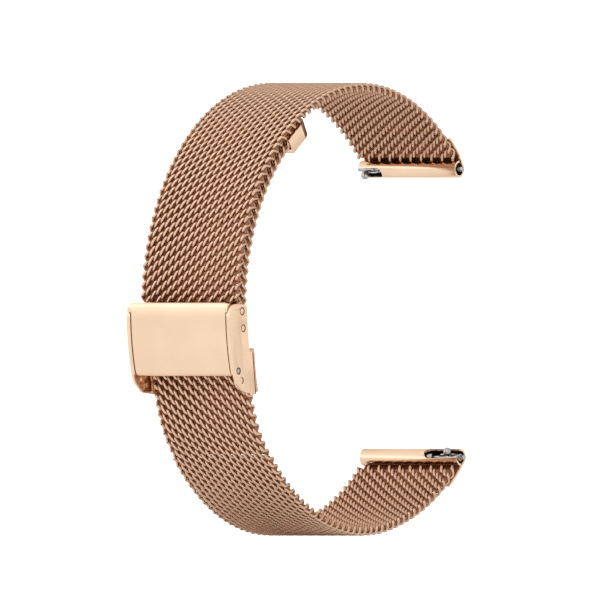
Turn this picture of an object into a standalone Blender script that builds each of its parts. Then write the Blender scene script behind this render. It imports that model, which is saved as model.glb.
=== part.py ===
"""A woven-mesh watch strap, closed in a loop by a double-snap sliding clasp.

The long strap is threaded through a slider under the clasp's cover and its tail lies inside
the short upper strap. Folded end pieces carry two quick-release spring bars.
+X runs across the strap, +Y from the clasp to the gap for the watch, +Z up.
The origin is on the upper spring bar's axis at mid width.
"""
import math

import bmesh
import bpy
from mathutils import Matrix, Vector

MM = 0.001

# Driving dimensions. Angles are degrees about the loop's centre, from +Y toward +Z.
LOOP_R = 38.0 * MM            # outside of the mesh
MESH_T = 1.55 * MM
MESH_HW = 9.7 * MM            # half width of the mesh
INNER_LAYER_R = 36.0 * MM     # outside of the long strap where it lies in two layers
JOINT_GAP = 0.3 * MM          # between two pieces of mesh
ARC_STEP = 1.75

UPPER_TUBE = (36.7 * MM, 39.8)
LOWER_TUBE = (38.0 * MM, -41.0)
UPPER_FLEX = [52.0 + 15.5 * k for k in range(5)]
LOWER_FLEX = [221.0 + 14.0 * k for k in range(7)]
UPPER_MESH_END = 178.9
TAIL_MESH_START = 121.0
RAMP = (187.0, 217.0)         # where the long strap leaves the inner layer
END_RAMP = (285.0, 319.0)     # where the long strap straightens toward its end piece
END_RISE = 0.85 * MM

# End pieces, folded from sheet round the spring bars
SHEET_T = 0.35 * MM
TUBE_R = 1.25 * MM            # centre line of the rolled tube
END_HW = 9.85 * MM
CLAMP_SPAN = 8.6              # degrees from the tube's axis to the clamp's edge
STUB_START = 2.7              # degrees from the tube's axis to the end of the mesh

# Spring bars
BARREL_R = 0.7 * MM
BARREL_BORE = 0.44 * MM
TIP_R = 0.38 * MM
TIP_REACH = 10.7 * MM
KNOB_R = 0.68 * MM

# Clasp
COVER_R = 41.1 * MM
COVER_T = 0.8 * MM
COVER_HW = 10.5 * MM
EAR_T = 0.45 * MM
EAR_INNER_R = 35.75 * MM
COVER_TOP = 178.8
COVER_END = 195.6
HINGE_PIN = (37.3 * MM, 180.6)
LATCH_PIN = (37.1 * MM, 185.0)
SNAP_PIN = (39.75 * MM, 195.2)
DETENT = (39.3 * MM, 197.8)
SLEEVE = (191.3, 203.4)
SLEEVE_MOUTH = 196.0          # where the sleeve's outer wall ends
SLEEVE_HW = 9.98 * MM
SLEEVE_T = 0.5 * MM
WRIST_T = 0.8 * MM            # the sleeve's wall on the wrist side
CHANNEL_HW = 9.78 * MM
ADJUST = 5.0                  # degrees the long strap can be drawn up through the slider
LOCK_PIN_ANGLE = 200.7
LOCK_HW = 8.1 * MM
TAIL_NOSE = 117.8
TAIL_OPENING = 128.8

ROSE_GOLD = (0.86, 0.62, 0.47, 1.0)
STEEL = (0.72, 0.72, 0.74, 1.0)

CENTRE = Vector((0.0,
                 -UPPER_TUBE[0] * math.cos(math.radians(UPPER_TUBE[1])),
                 -UPPER_TUBE[0] * math.sin(math.radians(UPPER_TUBE[1]))))


def clear_scene():
    for obj in list(bpy.data.objects):
        bpy.data.objects.remove(obj, do_unlink=True)


def new_collection(name):
    collection = bpy.data.collections.new(name)
    bpy.context.scene.collection.children.link(collection)
    return collection


def polar(radius, degrees):
    """A point of the mid-width plane, in the part's frame."""
    angle = math.radians(degrees)
    return CENTRE + Vector((0.0, radius * math.cos(angle), radius * math.sin(angle)))


def radial(degrees):
    angle = math.radians(degrees)
    return Vector((0.0, math.cos(angle), math.sin(angle)))


def metal(name, colour):
    material = bpy.data.materials.new(name)
    material.use_nodes = True
    shader = material.node_tree.nodes["Principled BSDF"]
    shader.inputs["Base Color"].default_value = colour
    shader.inputs["Metallic"].default_value = 1.0
    shader.inputs["Roughness"].default_value = 0.25
    return material


def finish(name, bm, origin, colour, collection):
    bmesh.ops.recalc_face_normals(bm, faces=bm.faces)
    mesh = bpy.data.meshes.new(name)
    bm.to_mesh(mesh)
    bm.free()
    obj = bpy.data.objects.new(name, mesh)
    obj.location = origin
    mesh.materials.append(metal(name, colour))
    collection.objects.link(obj)
    return obj


def cut(target, cutter):
    """Takes the cutter out of the target."""
    cutter.hide_render = True
    cutter.display_type = 'WIRE'
    boolean = target.modifiers.new("cut_" + cutter.name, 'BOOLEAN')
    boolean.operation = 'DIFFERENCE'
    boolean.solver = 'EXACT'
    boolean.object = cutter


def strip_solid(name, left, right, span, origin, colour, collection):
    """A solid across X between two polylines of equal length, such as a bent sheet."""
    bm = bmesh.new()
    sides = []
    for x in span:
        offset = Vector((x, 0.0, 0.0)) - origin
        sides.append([[bm.verts.new(p + offset) for p in line] for line in (left, right)])
    (l0, r0), (l1, r1) = sides
    for k in range(len(left) - 1):
        bm.faces.new((l0[k], l0[k + 1], r0[k + 1], r0[k]))
        bm.faces.new((l1[k], r1[k], r1[k + 1], l1[k + 1]))
        bm.faces.new((l0[k], l1[k], l1[k + 1], l0[k + 1]))
        bm.faces.new((r0[k], r0[k + 1], r1[k + 1], r1[k]))
    for k in (0, -1):
        bm.faces.new((l0[k], r0[k], r1[k], l1[k]))
    return finish(name, bm, origin, colour, collection)


def sheet(name, path, thickness, half_width, origin, colour, collection):
    """Sheet metal bent along a path in the plane of the loop."""
    left, right = [], []
    for k, point in enumerate(path):
        before = path[max(k - 1, 0)]
        after = path[min(k + 1, len(path) - 1)]
        along = (after - before).normalized()
        normal = Vector((0.0, -along.z, along.y))
        left.append(point + normal * thickness / 2)
        right.append(point - normal * thickness / 2)
    return strip_solid(name, left, right, (-half_width, half_width), origin, colour, collection)


def arc_angles(start, end):
    steps = max(1, round(abs(end - start) / ARC_STEP))
    return [start + (end - start) * k / steps for k in range(steps + 1)]


def sector(name, radii, angles, span, origin, colour, collection):
    """A block between two radii and two angles of the loop."""
    spread = arc_angles(*angles)
    inner = [polar(radii[0], a) for a in spread]
    outer = [polar(radii[1], a) for a in spread]
    return strip_solid(name, inner, outer, span, origin, colour, collection)


def prism(name, outline, span, origin, colour, collection):
    """A closed outline of the loop's plane, pulled across X."""
    bm = bmesh.new()
    ends = []
    for x in span:
        offset = Vector((x, 0.0, 0.0)) - origin
        ends.append([bm.verts.new(p + offset) for p in outline])
    bm.faces.new(ends[0])
    bm.faces.new(ends[1])
    for k in range(len(outline)):
        nxt = (k + 1) % len(outline)
        bm.faces.new((ends[0][k], ends[1][k], ends[1][nxt], ends[0][nxt]))
    return finish(name, bm, origin, colour, collection)


def lathe(name, profile, origin, colour, collection, axis=(1.0, 0.0, 0.0), hollow=False, sides=24):
    """Turns (along, radius) points round an axis through the origin."""
    bm = bmesh.new()
    turn = Vector((1.0, 0.0, 0.0)).rotation_difference(Vector(axis))
    rings = []
    for along, radius in profile:
        ring = []
        for k in range(sides):
            angle = 2 * math.pi * k / sides
            point = Vector((along, radius * math.cos(angle), radius * math.sin(angle)))
            ring.append(bm.verts.new(turn @ point))
        rings.append(ring)
    pairs = list(zip(rings, rings[1:]))
    if hollow:
        pairs.append((rings[-1], rings[0]))
    else:
        bm.faces.new(rings[0])
        bm.faces.new(rings[-1])
    for first, second in pairs:
        for k in range(sides):
            nxt = (k + 1) % sides
            bm.faces.new((first[k], first[nxt], second[nxt], second[k]))
    return finish(name, bm, origin, colour, collection)


def smooth_share(degrees, span):
    """0 before the span, 1 after it, with a smooth rise between."""
    share = min(1.0, max(0.0, (degrees - span[0]) / (span[1] - span[0])))
    return share * share * (3 - 2 * share)


def layer_radius(degrees):
    """Outer radius of the long strap: inner layer at the clasp, full radius and more below it."""
    rise = (LOOP_R - INNER_LAYER_R) * smooth_share(degrees, RAMP)
    return INNER_LAYER_R + rise + END_RISE * smooth_share(degrees, END_RAMP)


def mesh_piece(name, start, end, origin, collection, long_strap=False):
    """A length of woven mesh, short of both joints by half the gap."""
    trim = math.degrees(JOINT_GAP / 2 / LOOP_R)
    spread = arc_angles(start + trim, end - trim)
    outer_r = [layer_radius(a) if long_strap else LOOP_R for a in spread]
    outer = [polar(r, a) for r, a in zip(outer_r, spread)]
    inner = [polar(r - MESH_T, a) for r, a in zip(outer_r, spread)]
    return strip_solid(name, inner, outer, (-MESH_HW, MESH_HW), origin, ROSE_GOLD, collection)


def flex_axis(degrees, radius=LOOP_R):
    return polar(radius - MESH_T / 2, degrees)


def ring_path(centre, radius, out, along, start, end, steps):
    """Points round a centre; angle 0 lies toward `out` and 90 toward `along`."""
    points = []
    for k in range(steps + 1):
        angle = math.radians(start + (end - start) * k / steps)
        points.append(centre + radius * (math.cos(angle) * out + math.sin(angle) * along))
    return points


def end_piece(side, tube, slot_side, slot_length, parts, cutters):
    """Sheet fixed to the outside of the mesh, rolled round the spring bar, cut open for its lever."""
    sign = 1 if tube[1] > 0 else -1
    axis = polar(*tube)
    out = radial(tube[1])
    front = Vector((0.0, out.z, -out.y)) * sign
    far, near = CLAMP_SPAN, STUB_START + 0.3
    path = []
    for angle in (tube[1] + sign * a for a in (far, far - 1.8, far - 3.6, near)):
        outside = LOOP_R if side == "upper" else layer_radius(360 + angle)
        path.append(polar(outside + 0.15 * MM + SHEET_T / 2, angle))
    path += ring_path(axis, TUBE_R, out, front, 14, 312, 24)
    body = sheet(side + "_end_sheet", path, SHEET_T, END_HW, axis, ROSE_GOLD, parts)
    reach = [axis + front * f * 0.76 * MM - out * d * MM for f, d in ((-1, 0.3), (1, 0.3), (1, 3), (-1, 3))]
    inner_x = slot_side * (END_HW - slot_length)
    cut(body, prism(side + "_slot", reach, (inner_x, slot_side * 12 * MM), axis, STEEL, cutters))
    return axis, out


def coil(name, start, end, mean_r, wire_r, turns, origin, collection):
    """A compression spring along X."""
    bm = bmesh.new()
    steps = turns * 10
    sides = 5
    rings = []
    for k in range(steps + 1):
        angle = 2 * math.pi * turns * k / steps
        x = start + (end - start) * k / steps
        out = Vector((0.0, math.cos(angle), math.sin(angle)))
        ring = []
        for j in range(sides):
            turn = 2 * math.pi * j / sides
            ring.append(bm.verts.new(out * (mean_r + wire_r * math.cos(turn))
                                     + Vector((x + wire_r * math.sin(turn), 0.0, 0.0))))
        rings.append(ring)
    for first, second in zip(rings, rings[1:]):
        for j in range(sides):
            nxt = (j + 1) % sides
            bm.faces.new((first[j], first[nxt], second[nxt], second[j]))
    bm.faces.new(rings[0])
    bm.faces.new(rings[-1])
    return finish(name, bm, origin, STEEL, collection)


def spring_bar(side, axis, out, lever_side, knob_x, knob_drop, parts):
    """Quick-release bar: barrel, fixed tip, spring, and a sprung tip moved by its knob."""
    def along(values):
        return [(lever_side * x * MM, r) for x, r in values]

    lathe(side + "_bar_barrel",
          along(((-9.0, BARREL_BORE), (-9.0, BARREL_R), (4.3, BARREL_R), (4.3, BARREL_BORE))),
          axis, STEEL, parts, hollow=True)
    reach = TIP_REACH / MM
    lathe(side + "_bar_fixed_tip",
          along(((-reach, TIP_R - 0.08 * MM), (-reach + 0.12, TIP_R), (-7.5, TIP_R))),
          axis, STEEL, parts)
    coil(side + "_bar_spring", lever_side * -7.3 * MM, lever_side * 1.9 * MM,
         0.27 * MM, 0.09 * MM, 8, axis, parts)
    lathe(side + "_bar_release_tip",
          along(((2.1, TIP_R), (7.2, TIP_R), (7.2, 0.6 * MM), (9.7, 0.6 * MM), (9.7, TIP_R),
                 (reach - 0.12, TIP_R), (reach, TIP_R - 0.08 * MM))),
          axis, STEEL, parts)
    ball = [(knob_drop - KNOB_R * math.cos(a), KNOB_R * math.sin(a))
            for a in (math.radians(26 + 16 * k) for k in range(10))]
    stem = [(0.66 * MM, 0.28 * MM)]
    knob_origin = axis + Vector((lever_side * knob_x, 0.0, 0.0))
    lathe(side + "_bar_release_knob", stem + ball, knob_origin, STEEL, parts, axis=-out, sides=20)


def upper_strap(parts):
    """Mesh from the upper end piece to the clasp, in pieces that bend against each other."""
    mesh_piece("upper_mesh_stub", UPPER_TUBE[1] + STUB_START, UPPER_FLEX[0], polar(*UPPER_TUBE), parts)
    for k, (start, end) in enumerate(zip(UPPER_FLEX, UPPER_FLEX[1:]), 1):
        mesh_piece("upper_mesh_%d" % k, start, end, flex_axis(start), parts)
    mesh_piece("upper_mesh_clasp", UPPER_FLEX[-1], UPPER_MESH_END, flex_axis(UPPER_FLEX[-1]), parts)
    centre = polar(*HINGE_PIN)
    out = radial(HINGE_PIN[1])
    down = Vector((0.0, -out.z, out.y))
    path = ring_path(centre, 0.85 * MM, out, down, -75, 255, 26)
    sheet("strap_knuckle", path, 0.36 * MM, MESH_HW, centre, ROSE_GOLD, parts)


def lower_strap(parts, cutters):
    """The long strap: tail and clasp stretch in one piece, then pieces that bend."""
    mesh_piece("long_mesh", TAIL_MESH_START, LOWER_FLEX[0], CENTRE, parts, long_strap=True)
    for k, (start, end) in enumerate(zip(LOWER_FLEX, LOWER_FLEX[1:]), 1):
        mesh_piece("lower_mesh_%d" % k, start, end, flex_axis(start, layer_radius(start)), parts,
                   long_strap=True)
    stub_end = 360 + LOWER_TUBE[1] - STUB_START
    start = LOWER_FLEX[-1]
    mesh_piece("lower_mesh_stub", start, stub_end, flex_axis(start, layer_radius(start)), parts,
               long_strap=True)
    tail_cap(parts, cutters)


def nose_stations(nose, opening, half_width, corner):
    """Angle and half width of stations along a tongue whose tip has rounded corners."""
    stations = []
    for k in range(6):
        turn = math.radians(90 * k / 5)
        stations.append((nose + math.degrees(corner * (1 - math.cos(turn)) / INNER_LAYER_R),
                         half_width - corner * (1 - math.sin(turn))))
    last = stations[-1][0]
    stations += [(last + (opening - last) * k / 4, half_width) for k in (1, 2, 3, 4)]
    return stations


def tongue(name, stations, radii, colour, collection):
    """A block between two radii whose half width changes along the loop."""
    bm = bmesh.new()
    rings = []
    for degrees, half_width in stations:
        ring = []
        for radius, x in ((radii[0], -half_width), (radii[0], half_width),
                          (radii[1], half_width), (radii[1], -half_width)):
            ring.append(bm.verts.new(polar(radius, degrees) + Vector((x, 0.0, 0.0)) - CENTRE))
        rings.append(ring)
    for first, second in zip(rings, rings[1:]):
        for k in range(4):
            nxt = (k + 1) % 4
            bm.faces.new((first[k], first[nxt], second[nxt], second[k]))
    bm.faces.new(rings[0])
    bm.faces.new(rings[-1])
    return finish(name, bm, CENTRE, colour, collection)


def tail_cap(parts, cutters):
    """Hollow cap over the tail's end, with a rounded tip, thicker than the mesh on the wrist side."""
    wall = 0.2 * MM
    inner = INNER_LAYER_R - MESH_T - 0.9 * MM
    outer = INNER_LAYER_R + 0.25 * MM
    stations = nose_stations(TAIL_NOSE, TAIL_OPENING, MESH_HW + 0.25 * MM, 2.4 * MM)
    body = tongue("tail_cap", stations, (inner, outer), ROSE_GOLD, parts)
    stations = nose_stations(TAIL_NOSE + 0.4, TAIL_OPENING + 2.0, MESH_HW + 0.05 * MM, 2.2 * MM)
    cut(body, tongue("tail_cap_inside", stations, (INNER_LAYER_R - MESH_T - 0.1 * MM, outer - wall),
                     STEEL, cutters))


def rounded(points, radii, steps=5):
    """Rounds each corner of an outline whose radius isn't 0."""
    outline = []
    count = len(points)
    for k, (corner, radius) in enumerate(zip(points, radii)):
        if radius == 0:
            outline.append(corner)
            continue
        to_before = (points[k - 1] - corner).normalized()
        to_after = (points[(k + 1) % count] - corner).normalized()
        half = to_before.angle(to_after) / 2
        run = radius / math.tan(half)
        centre = corner + (to_before + to_after).normalized() * radius / math.sin(half)
        first = (corner + to_before * run - centre).normalized()
        last = (corner + to_after * run - centre).normalized()
        for j in range(steps + 1):
            outline.append(centre + first.slerp(last, j / steps) * radius)
    return outline


def pin(name, place, radius, half_length, colour, collection):
    lathe(name, ((-half_length, radius - 0.06 * MM), (-half_length + 0.06 * MM, radius),
                 (half_length - 0.06 * MM, radius), (half_length, radius - 0.06 * MM)),
          polar(*place), colour, collection)


def hole(name, place, radius, half_length, cutters):
    return lathe(name, ((-half_length, radius), (half_length, radius)), polar(*place), STEEL, cutters)


def cover(parts, cutters):
    """Curved outer plate with an ear down each side of the mesh."""
    top_arc = arc_angles(COVER_TOP + 1.5, COVER_END)
    outline = [polar(COVER_R, a) for a in top_arc]
    radii = [0.0] * len(outline)
    for radius, angle, rounding in ((41.0, 197.4, 2.5), (39.5, 200.8, 2.5), (36.1, 203.4, 0.3),
                                    (34.8, 191.8, 0.15), (35.75, 191.6, 0.3)):
        outline.append(polar(radius * MM, angle))
        radii.append(rounding * MM)
    inner_arc = arc_angles(190.2, 181.5)
    outline += [polar(EAR_INNER_R, a) for a in inner_arc]
    radii += [0.0] * len(inner_arc)
    outline += [polar(EAR_INNER_R, COVER_TOP), polar(COVER_R, COVER_TOP)]
    radii += [0.8 * MM, 0.7 * MM]
    origin = polar(*HINGE_PIN)
    body = prism("clasp_cover", rounded(outline, radii), (-COVER_HW, COVER_HW), origin, ROSE_GOLD, parts)
    inside = COVER_HW - EAR_T
    cut(body, sector("cover_inside", (30 * MM, COVER_R - COVER_T), (170, 212), (-inside, inside),
                     origin, STEEL, cutters))
    cut(body, sector("cover_mouth", (39 * MM, 46 * MM), (COVER_END, 212), (-inside, inside),
                     origin, STEEL, cutters))
    for name, place, radius in (("hinge", HINGE_PIN, 0.64), ("latch", LATCH_PIN, 0.59),
                                ("snap", SNAP_PIN, 0.46), ("detent", DETENT, 0.5)):
        cut(body, hole("cover_" + name + "_hole", place, radius * MM, 12 * MM, cutters))
    pin("hinge_pin", HINGE_PIN, 0.6 * MM, COVER_HW + 0.06 * MM, ROSE_GOLD, parts)
    pin("latch_pin", LATCH_PIN, 0.55 * MM, COVER_HW + 0.06 * MM, ROSE_GOLD, parts)
    pin("snap_pin", SNAP_PIN, 0.42 * MM, COVER_HW + 0.06 * MM, STEEL, parts)


def inner_latch(parts):
    """Hooked plate hung on the latch pin under the cover."""
    centre = polar(*LATCH_PIN)
    out = radial(LATCH_PIN[1])
    down = Vector((0.0, -out.z, out.y))
    path = ring_path(centre, 0.77 * MM, out, down, -262, 12, 20)
    path += [polar(38.3 * MM, a) for a in (187.4, 189.1, 190.8, 192.5, 194.2, 195.9)]
    sheet("inner_latch", path, 0.32 * MM, 9.2 * MM, centre, ROSE_GOLD, parts)


def channel_radii(degrees):
    """Wrist side and outer side of the slider's channel, wide enough for the strap to slide."""
    wrist = layer_radius(degrees) - MESH_T - 0.12 * MM
    return wrist, layer_radius(degrees + ADJUST) + 0.15 * MM


def sleeve_block(name, angles, inner, outer, span, collection, colour):
    """A block that follows the channel; inner and outer map an angle to a radius."""
    spread = arc_angles(*angles)
    return strip_solid(name, [polar(inner(a), a) for a in spread], [polar(outer(a), a) for a in spread],
                       span, CENTRE, colour, collection)


def slider(parts, cutters):
    """Sleeve the long strap is threaded through, with the plate that locks it."""
    body = sleeve_block("slider_sleeve", SLEEVE, lambda a: channel_radii(a)[0] - WRIST_T,
                        lambda a: channel_radii(a)[1] + SLEEVE_T, (-SLEEVE_HW, SLEEVE_HW),
                        parts, ROSE_GOLD)
    cut(body, sleeve_block("sleeve_channel", (187.0, 206.0), lambda a: channel_radii(a)[0],
                           lambda a: channel_radii(a)[1], (-CHANNEL_HW, CHANNEL_HW), cutters, STEEL))
    cut(body, sleeve_block("sleeve_mouth", (SLEEVE_MOUTH, 206.0), lambda a: layer_radius(a) - 0.8 * MM,
                           lambda a: COVER_R, (-12 * MM, 12 * MM), cutters, STEEL))
    window_hw = LOCK_HW + 0.2 * MM
    cut(body, sector("lock_window", (33 * MM, 35.6 * MM), (191.8, 201.8), (-window_hw, window_hw),
                     CENTRE, STEEL, cutters))
    lock_pin = (channel_radii(LOCK_PIN_ANGLE)[0] - 0.3 * MM, LOCK_PIN_ANGLE)
    cut(body, hole("lock_pin_hole", lock_pin, 0.16 * MM, 9.3 * MM, cutters))
    catch = (channel_radii(194.3)[1] + SLEEVE_T + 0.25 * MM, 194.3)
    for name, place, radius, half in (("catch_bar", catch, 0.2, 9.5), ("lock_pin", lock_pin, 0.13, 9.2)):
        lathe(name, ((-half * MM, radius * MM), (half * MM, radius * MM)), polar(*place),
              STEEL, parts, sides=16)
    centre = polar(*lock_pin)
    out = radial(LOCK_PIN_ANGLE)
    down = Vector((0.0, -out.z, out.y))
    angles = arc_angles(192.2, LOCK_PIN_ANGLE - 0.8)
    outline = [polar(channel_radii(a)[0] - 0.05 * MM, a) for a in angles]
    outline += ring_path(centre, 0.27 * MM, out, down, -40, 220, 14)
    outline += [polar(channel_radii(a)[0] - 0.6 * MM, a) for a in reversed(angles)]
    plate = prism("lock_plate", outline, (-LOCK_HW, LOCK_HW), centre, ROSE_GOLD, parts)
    cut(plate, hole("lock_plate_hole", lock_pin, 0.16 * MM, 12 * MM, cutters))


def build():
    clear_scene()
    parts = new_collection("mesh_watch_strap")
    cutters = new_collection("cutters")
    axis, out = end_piece("upper", UPPER_TUBE, -1, 5.0 * MM, parts, cutters)
    spring_bar("upper", axis, out, -1, 8.5 * MM, 1.65 * MM, parts)
    upper_strap(parts)
    cover(parts, cutters)
    inner_latch(parts)
    slider(parts, cutters)
    lower_strap(parts, cutters)
    axis, out = end_piece("lower", LOWER_TUBE, 1, 5.1 * MM, parts, cutters)
    spring_bar("lower", axis, out, 1, 7.8 * MM, 1.5 * MM, parts)


build()
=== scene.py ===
"""The looks of a woven-mesh watch strap: overlapping coils of wire, a polished clasp,
folded end pieces and quick-release spring bars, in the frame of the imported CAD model.

+X runs across the strap, +Y from the clasp to the gap for the watch, +Z up. Angles are in
degrees about the loop's centre, from +Y toward +Z.
"""

import math

import bmesh
import bpy
import numpy as np
from mathutils import Matrix, Vector


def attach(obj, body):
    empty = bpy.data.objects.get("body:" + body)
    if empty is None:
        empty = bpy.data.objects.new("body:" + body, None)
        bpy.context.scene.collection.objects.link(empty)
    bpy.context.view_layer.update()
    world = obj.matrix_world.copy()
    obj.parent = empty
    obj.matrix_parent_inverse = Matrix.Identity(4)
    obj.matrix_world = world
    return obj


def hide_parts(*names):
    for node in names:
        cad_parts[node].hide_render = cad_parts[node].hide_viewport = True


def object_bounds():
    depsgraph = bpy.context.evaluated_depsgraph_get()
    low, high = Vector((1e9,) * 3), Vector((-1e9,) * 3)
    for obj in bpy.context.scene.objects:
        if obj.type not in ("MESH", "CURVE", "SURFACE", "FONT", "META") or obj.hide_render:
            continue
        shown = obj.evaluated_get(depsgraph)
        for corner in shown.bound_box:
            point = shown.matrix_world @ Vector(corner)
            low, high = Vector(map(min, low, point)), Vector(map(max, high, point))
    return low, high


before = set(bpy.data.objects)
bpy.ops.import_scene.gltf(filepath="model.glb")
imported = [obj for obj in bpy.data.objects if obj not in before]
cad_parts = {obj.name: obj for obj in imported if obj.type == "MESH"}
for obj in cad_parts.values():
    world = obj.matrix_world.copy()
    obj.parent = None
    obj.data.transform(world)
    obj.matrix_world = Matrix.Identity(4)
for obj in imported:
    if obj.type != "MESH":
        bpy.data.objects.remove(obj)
cad_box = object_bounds()

MM = 0.001

# Loop and mesh, as in the CAD model
LOOP_R = 38.0 * MM
MESH_T = 1.55 * MM
MESH_HW = 9.7 * MM
INNER_LAYER_R = 36.0 * MM
UPPER_TUBE = (36.7 * MM, 39.8)
LOWER_TUBE = (38.0 * MM, -41.0)
RAMP = (187.0, 217.0)
END_RAMP = (285.0, 319.0)
END_RISE = 0.85 * MM
CENTRE = Vector((0.0,
                 -UPPER_TUBE[0] * math.cos(math.radians(UPPER_TUBE[1])),
                 -UPPER_TUBE[0] * math.sin(math.radians(UPPER_TUBE[1]))))

# Weave: each row is a flattened coil of wire across the strap
WEAVE_HW = 9.98 * MM          # a little wider than the solids, out to the rounded turns of the wire
NARROW_HW = 9.76 * MM         # where it has to pass through the slider
WIRE_R = 0.27 * MM
COIL_TURNS = 9
COIL_REACH = 0.82 * MM        # half length of a coil along the strap
COIL_RISE = 0.53 * MM         # half height of a coil
COIL_SHARPNESS = 0.62         # under 1 flattens the faces of the coil
TURN_POINTS = 14
WIRE_SIDES = 6
EDGE_POINTS = 14
EDGE_BULGE = 0.16 * MM
EDGE_SWING = 0.5 * MM         # how far a wire overshoots as it rounds the edge
EDGE_SHADE = 0.4              # share of a coil's painted shade that reaches the turns at the edges
CORE_T = 0.24 * MM

# Lengths of mesh: start and span in degrees, and rows of coils in each
UPPER_START = 52.0
UPPER_SPAN = 15.5
UPPER_ROWS = 12
UPPER_LENGTHS = 4
UPPER_STUB_ROWS = 7
CLASP_ROWS = 50
LONG_START = 121.0
LONG_ROWS = 75
LOWER_START = 221.0
LOWER_SPAN = 14.0
LOWER_ROWS = 11
LOWER_LENGTHS = 6
LOWER_STUB_ROWS = 8
UPPER_ROW = UPPER_SPAN / UPPER_ROWS         # degrees from row to row
LONG_ROW = (LOWER_START - LONG_START) / LONG_ROWS
LOWER_ROW = LOWER_SPAN / LOWER_ROWS

# Sheet parts
SHEET_T = 0.35 * MM
TUBE_R = 1.25 * MM
END_HW = 9.85 * MM
CLAMP_SPAN = 8.6
STUB_START = 2.7
SHADE_LINING_DROP = -0.21 * MM      # from the middle of a leaf to the painted shade on its inner face
UPPER_SLOT = 4.7 * MM         # length of the slot in the tube
LOWER_SLOT = 6.7 * MM
SLOT_REACH = (-1.05 * MM, 0.76 * MM)        # the slot's two sides, from the tube's axis

# Clasp
COVER_R = 41.1 * MM
COVER_T = 0.8 * MM
COVER_HW = 10.5 * MM
EAR_T = 0.45 * MM
LIP_W = 0.72 * MM             # how far an ear laps round beside the plate
SEAM_GAP = 0.2 * MM
EAR_INNER_R = 35.75 * MM
COVER_TOP = 178.8
COVER_END = 195.6
HINGE_PIN = (37.3 * MM, 180.6)
LATCH_PIN = (37.1 * MM, 185.0)
SNAP_PIN = (39.75 * MM, 195.2)
DETENT = (39.3 * MM, 197.8)
PIN_R = (0.56 * MM, 0.52 * MM, 0.44 * MM)   # of the hinge pin, the latch pin and the snap pin
HOLE_R = (0.70 * MM, 0.66 * MM, 0.62 * MM)  # of their holes in the ears
DETENT_R = 0.56 * MM
SLEEVE = (191.3, 203.4)
SLEEVE_MOUTH = 196.0
SLEEVE_HW = 9.98 * MM
SLEEVE_T = 0.5 * MM
WRIST_T = 0.8 * MM
CHANNEL_HW = 9.78 * MM
ADJUST = 5.0
LOCK_PIN_ANGLE = 200.7
LOCK_HW = 8.1 * MM
TAIL_NOSE = 117.8
TAIL_OPENING = 128.8
BEND_SPAN = 3.4               # degrees over which the cap's sides bend in to its nose, where a dark reflection is painted

# Spring bars
BARREL_R = 0.7 * MM
BARREL_BORE = 0.44 * MM
TIP_R = 0.38 * MM
TIP_REACH = 10.7              # in millimetres, like the profiles of the bars
KNOB_R = 0.68 * MM
UPPER_KNOB = (8.5 * MM, 1.65 * MM)          # place along the bar, and distance from its axis
LOWER_KNOB = (7.8 * MM, 1.5 * MM)

# View and light
VIEW_AZIMUTH = 34.4
VIEW_WIDTH = 0.1008
STUDIO_STRENGTH = 1.4
RIGHT_SHARE = 0.68            # of the studio's light, at its far right
FLOOR_REACH = 3.0
FLOOR_GAP = 3.5 * MM          # the strap hangs by its lugs, clear of the floor
FRAMING = (-2.72 * MM, 1.51 * MM)           # from the loop's centre to the middle of the view


# ---------------------------------------------------------------- places

def polar(radius, degrees):
    """A point of the mid-width plane."""
    angle = math.radians(degrees)
    return CENTRE + Vector((0.0, radius * math.cos(angle), radius * math.sin(angle)))


def radial(degrees):
    angle = math.radians(degrees)
    return Vector((0.0, math.cos(angle), math.sin(angle)))


def across(out):
    """The direction of growing angle at a place whose outward direction is `out`."""
    return Vector((0.0, -out.z, out.y))


def arc_angles(start, end, step=1.0):
    steps = max(1, round(abs(end - start) / step))
    return [start + (end - start) * k / steps for k in range(steps + 1)]


def smooth_share(degrees, span):
    """0 before the span, 1 after it, with a smooth rise between."""
    share = np.clip((degrees - span[0]) / (span[1] - span[0]), 0.0, 1.0)
    return share * share * (3 - 2 * share)


def layer_radius(degrees):
    """Outer radius of the long strap: inner layer at the clasp, full radius and more below it."""
    rise = (LOOP_R - INNER_LAYER_R) * smooth_share(degrees, RAMP)
    return INNER_LAYER_R + rise + END_RISE * smooth_share(degrees, END_RAMP)


def channel_radii(degrees):
    """Wrist side and outer side of the slider's channel."""
    wrist = float(layer_radius(degrees)) - MESH_T - 0.12 * MM
    return wrist, float(layer_radius(degrees + ADJUST)) + 0.15 * MM


def ring_path(centre, radius, out, along, start, end, steps):
    points = []
    for k in range(steps + 1):
        angle = math.radians(start + (end - start) * k / steps)
        points.append(centre + radius * (math.cos(angle) * out + math.sin(angle) * along))
    return points


# ---------------------------------------------------------------- materials

def new_material(name):
    material = bpy.data.materials.new(name)
    material.use_nodes = True
    nodes = material.node_tree.nodes
    return material, nodes, material.node_tree.links, nodes["Principled BSDF"]


def noise_at(nodes, links, scale, detail=3.0):
    place = nodes.new("ShaderNodeTexCoord")
    noise = nodes.new("ShaderNodeTexNoise")
    noise.inputs["Scale"].default_value = scale
    noise.inputs["Detail"].default_value = detail
    links.new(place.outputs["Object"], noise.inputs["Vector"])
    return noise


def ramp_from(nodes, links, source, low, high, span=(0.3, 0.7)):
    ramp = nodes.new("ShaderNodeValToRGB")
    ramp.color_ramp.elements[0].position = span[0]
    ramp.color_ramp.elements[1].position = span[1]
    ramp.color_ramp.elements[0].color = low
    ramp.color_ramp.elements[1].color = high
    links.new(source, ramp.inputs["Fac"])
    return ramp.outputs["Color"]


def range_from(nodes, links, source, low, high):
    mapped = nodes.new("ShaderNodeMapRange")
    mapped.inputs["To Min"].default_value = low
    mapped.inputs["To Max"].default_value = high
    links.new(source, mapped.inputs["Value"])
    return mapped.outputs["Result"]


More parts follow.
